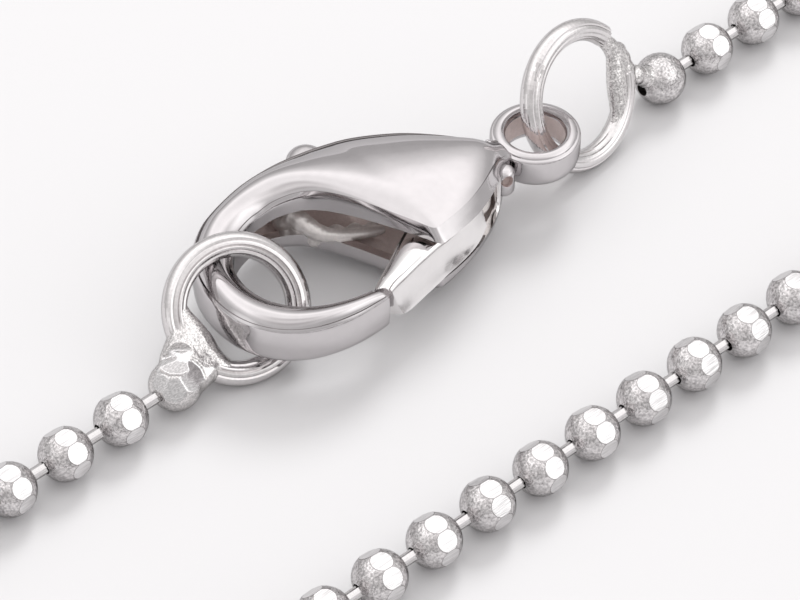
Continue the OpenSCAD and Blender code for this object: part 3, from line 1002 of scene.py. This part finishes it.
def cutDimple(piece, side):
    edge = side * math.sqrt(bead["radius"] ** 2 - bead["hole"] ** 2)

    def inDimple(face):
        return (all(math.hypot(v.co.y, v.co.z) < bead["hole"] * 1.03 for v in face.verts)
                and abs(face.calc_center_median().x) > 0.3)

    pickAll()
    bpy.ops.mesh.bisect(plane_co=(edge, 0, 0), plane_no=(side, 0, 0), use_fill=True, clear_outer=True)
    pick(piece, lambda f: abs(f.calc_center_median().x - edge) < 0.01 and abs(f.normal.x) > 0.98, "faces")
    bpy.ops.mesh.extrude_region_move(TRANSFORM_OT_translate={"value": (-side * bead["dimple"], 0, 0)})
    taper = (1, bead["dimpleTaper"], bead["dimpleTaper"])
    bpy.ops.transform.resize(value=taper, center_override=(edge, 0, 0))
    # the dimple's faces get the near black metal, as painted shade in the hole
    paintFaces(piece, inDimple, 1)


def makeBead(name, detail, crisp, flats=None):
    # a ball with its poles along X, cut flat by a ring of planes, with a dimple at each hole
    segments, rings = detail
    bpy.ops.mesh.primitive_uv_sphere_add(segments=segments, ring_count=rings, radius=bead["radius"],
                                         rotation=(0, math.pi / 2, 0))
    piece = named(name)
    addMetals(piece, beadMetal, beadHoleShade, flatMetal, flatEdgeShadeMetal)
    applyPlace(piece)
    # turned so that a coarse ball has a face under each of its flats
    piece.rotation_euler.x = math.pi / bead["flats"]
    applyPlace(piece)
    if flats is None:
        angles = [math.tau * k / bead["flats"] for k in range(bead["flats"])]
        flats = [((0, math.cos(angle), math.sin(angle)), bead["flat"]) for angle in angles]
    planes = [(Vector(way), depth) for way, depth in flats]

    def isFlat(face):
        return any(face.normal.dot(way) > 0.999 and abs(face.calc_center_median().dot(way) - depth) < 0.002
                   for way, depth in planes)

    editPiece(piece)
    for way, depth in planes:
        pickAll()
        bpy.ops.mesh.bisect(plane_co=way * depth, plane_no=way, use_fill=True, clear_outer=True)
    paintFaces(piece, isFlat, 2)
    objectMode()
    # painted shade: the bevel round each flat gets the dark metal
    if crisp:
        useModifier(piece, "BEVEL", width=bead["edgeShadeWidth"], segments=1, limit_method="ANGLE",
                    angle_limit=math.radians(14), material=3)
    editPiece(piece, "FACE")
    for side in (1, -1):
        cutDimple(piece, side)
    objectMode()
    shadeRound(piece, 12 if crisp else 30)
    return piece


def copyTo(source, place):
    makeActive(source)
    bpy.ops.object.duplicate()
    copy = bpy.context.object
    copy.matrix_world = place
    return copy


def beadPlace(number, draw):
    place, heading = onRoute(number * bead["pitch"])
    lean = draw.uniform(-bead["roll"], bead["roll"]) + bead["lean"] * math.cos(heading)
    tip = draw.uniform(-bead["tip"], bead["tip"])
    return (Matrix.Translation((place.x, place.y, bead["radius"])) @ Matrix.Rotation(heading, 4, "Z")
            @ turned(lean, "X") @ turned(tip, "Z"))


view = {
    "target": (0.0, 3.3, 0.0),
    "distance": 126.7,
    "turn": 42.15,  # degrees that the strands run off the picture's width
    "height": 45.0,  # degrees above the table
    "lens": 207.0,
    "near": (13, 10),  # how far across and up from the middle of the picture beads are seen large
}
viewTurn, viewHigh = math.radians(view["turn"]), math.radians(view["height"])
away = Vector((-math.sin(viewTurn) * math.cos(viewHigh), -math.cos(viewTurn) * math.cos(viewHigh),
               math.sin(viewHigh)))


def isNear(place):
    across = Vector((math.cos(viewTurn), -math.sin(viewTurn), 0))
    up = away.cross(across)
    run = Vector((place.x, place.y, bead["radius"])) - Vector(view["target"])
    return abs(run.dot(across)) < view["near"][0] and abs(run.dot(up)) < view["near"][1]


def makeBeads(name, first, last):
    fine = makeBead("fineBead", bead["fineDetail"], True)
    plain = makeBead("plainBead", bead["coarseDetail"], False)
    draw = random.Random(first)
    copies = []
    for number in range(first, last + 1):
        place = beadPlace(number, draw)
        copies.append(copyTo(fine if isNear(place.translation) else plain, place))
    bpy.data.objects.remove(fine)
    bpy.data.objects.remove(plain)
    return joinPieces(copies, name)


linkLook = {
    "sides": 16,
    "radius": 0.180,
    "length": 0.9,
    "flute": 0.88,  # every other edge is this share of the radius out
}


def makeLinks():
    # a fluted rod, copied into every gap of the chain
    look = linkLook
    rod = cylinder("linkRod", look["sides"], look["radius"], look["length"], turn=(0, math.pi / 2, 0))
    addMetals(rod, linkMetal)
    editPiece(rod)
    pick(rod, lambda v: round(math.atan2(v.co.z, v.co.y) / math.tau * look["sides"]) % 2)
    bpy.ops.transform.resize(value=(1, look["flute"], look["flute"]), center_override=(0, 0, 0))
    objectMode()
    copies = []
    for number in range(bead["links"]):
        start, end = (onRoute(step * bead["pitch"])[0] for step in (number, number + 1))
        middle = (start + end) / 2
        run = end - start
        copies.append(copyTo(rod, Matrix.Translation((middle.x, middle.y, bead["radius"]))
                             @ Matrix.Rotation(math.atan2(run.y, run.x), 4, "Z")))
    bpy.data.objects.remove(rod)
    return joinPieces(copies, "chainLinks")


tailPiece = makeTailRing()
settle(tailPiece, tailPlace)
tailEnd = makeBead("tailEndBall", bead["endDetail"], False, [((0, 0, -1), bead["endFlat"])])
tailEnd.matrix_world = Matrix.Translation(tailBall)
settle(tailEnd)
tailPiece = joinPieces([tailPiece, tailEnd], "tailJumpRing")
hand(tailPiece, "necklace", "ring_metal", "tail_jump_ring")

hookPiece = makeHookRing()
settle(hookPiece, hookPlace)
hand(hookPiece, "necklace", "ring_metal", "hook_jump_ring")

tailBeads = makeBeads("tailBeads", 1, bead["half"])
settle(tailBeads)
hand(tailBeads, "necklace", "bead_metal", "beads_tail_half")
hookBeads = makeBeads("hookBeads", bead["half"] + 1, bead["links"] - 1)
settle(hookBeads)
hand(hookBeads, "necklace", "bead_metal", "beads_hook_half")
chainLinks = makeLinks()
settle(chainLinks)
hand(chainLinks, "necklace", "link_metal", "bead_links")


# camera, table and lights

tableLook = {
    "size": 4,  # metres
    "colour": (0.655, 0.651, 0.657),
    "roughness": 0.6,
}

# the studio is a pale tent painted on the sky: grey round the foot, white overhead, with soft panels of light
skyLook = {
    # height on the sky, as the sine of its angle, and brightness there
    "rows": [(0.0, 0.66), (0.17, 0.62), (0.34, 0.68), (0.45, 0.84), (0.545, 0.98), (0.616, 1.12),
             (0.70, 1.42), (0.77, 1.58), (0.87, 1.48), (0.95, 1.34)],
    "tint": (1.0, 0.985, 0.985),
    # degrees round from +X, degrees up, half width and half height in degrees, softness, brightness
    "panels": {
        "right": (-56, 24, 38, 24, 0.6, 0.80),
        "left": (172, 14, 22, 14, 0.7, 0.5),
        "front": (-135, 55, 50, 34, 0.6, -0.5),
    },
}

keyLamp = {
    "round": 35,  # degrees round from +X and up from the table
    "up": 44,
    "far": 0.5,  # metres
    "size": 0.20,
    "power": 1.1,
}


def skyWay(degreesRound, degreesUp):
    around, upwards = math.radians(degreesRound), math.radians(degreesUp)
    level = math.cos(upwards)
    return Vector((math.cos(around) * level, math.sin(around) * level, math.sin(upwards)))


bpy.ops.object.camera_add(location=(Vector(view["target"]) + away * view["distance"]) * millimetre)
camera = bpy.context.object
camera.name = "camera"
camera.rotation_euler = away.to_track_quat("Z", "Y").to_euler()
camera.data.lens = view["lens"]
camera.data.clip_start = 0.01
camera.data.clip_end = 20
bpy.context.scene.camera = camera
bpy.context.scene.view_settings.view_transform = "Standard"

bpy.ops.mesh.primitive_plane_add(size=tableLook["size"], location=(0, 0, 0))
table = named("table")
material = bpy.data.materials.new("paleTable")
material.use_nodes = True
shader = material.node_tree.nodes["Principled BSDF"]
setInputs(shader, {"Base Color": (*tableLook["colour"], 1), "Roughness": tableLook["roughness"]})
addMetals(table, material)

world = bpy.data.worlds.new("studio")
bpy.context.scene.world = world
world.use_nodes = True
nodes, links = world.node_tree.nodes, world.node_tree.links
where = nodes.new("ShaderNodeTexCoord").outputs["Generated"]
height = nodes.new("ShaderNodeSeparateXYZ")
links.new(where, height.inputs["Vector"])
ramp = nodes.new("ShaderNodeValToRGB")
for place, bright in skyLook["rows"]:
    element = ramp.color_ramp.elements[0] if place == 0 else ramp.color_ramp.elements.new(place)
    element.color = (*[tint * bright for tint in skyLook["tint"]], 1)
ramp.color_ramp.elements.remove(ramp.color_ramp.elements[-1])
links.new(height.outputs["Z"], ramp.inputs["Fac"])
light = ramp.outputs["Color"]
for name, (degreesRound, degreesUp, across, up, softness, bright) in skyLook["panels"].items():
    way = skyWay(degreesRound, degreesUp)
    panel = nodes.new("ShaderNodeMapping")
    panel.name = name
    panel.vector_type = "TEXTURE"
    setInputs(panel, {"Location": way, "Rotation": way.to_track_quat("Z", "Y").to_euler(),
                      "Scale": (math.sin(math.radians(across)), math.sin(math.radians(up)), 1)})
    links.new(where, panel.inputs["Vector"])
    spread = nodes.new("ShaderNodeTexGradient")
    spread.gradient_type = "SPHERICAL"
    links.new(panel.outputs["Vector"], spread.inputs["Vector"])
    fade = nodes.new("ShaderNodeMapRange")
    fade.interpolation_type = "SMOOTHSTEP"
    setInputs(fade, {"From Max": softness, "To Max": bright})
    links.new(spread.outputs["Fac"], fade.inputs["Value"])
    total = nodes.new("ShaderNodeVectorMath")
    total.operation = "ADD"
    links.new(light, total.inputs[0])
    links.new(fade.outputs["Result"], total.inputs[1])
    light = total.outputs["Vector"]
links.new(light, nodes["Background"].inputs["Color"])

# a soft lamp that throws the shadows and isn't mirrored in the metal
way = skyWay(keyLamp["round"], keyLamp["up"])
bpy.ops.object.light_add(type="AREA", location=way * keyLamp["far"],
                         rotation=way.to_track_quat("Z", "Y").to_euler())
lamp = bpy.context.object
lamp.name = "keyLamp"
lamp.data.shape = "DISK"
lamp.data.size = keyLamp["size"]
lamp.data.energy = keyLamp["power"]
lamp.visible_glossy = False

print("stage: camera, table and lights")
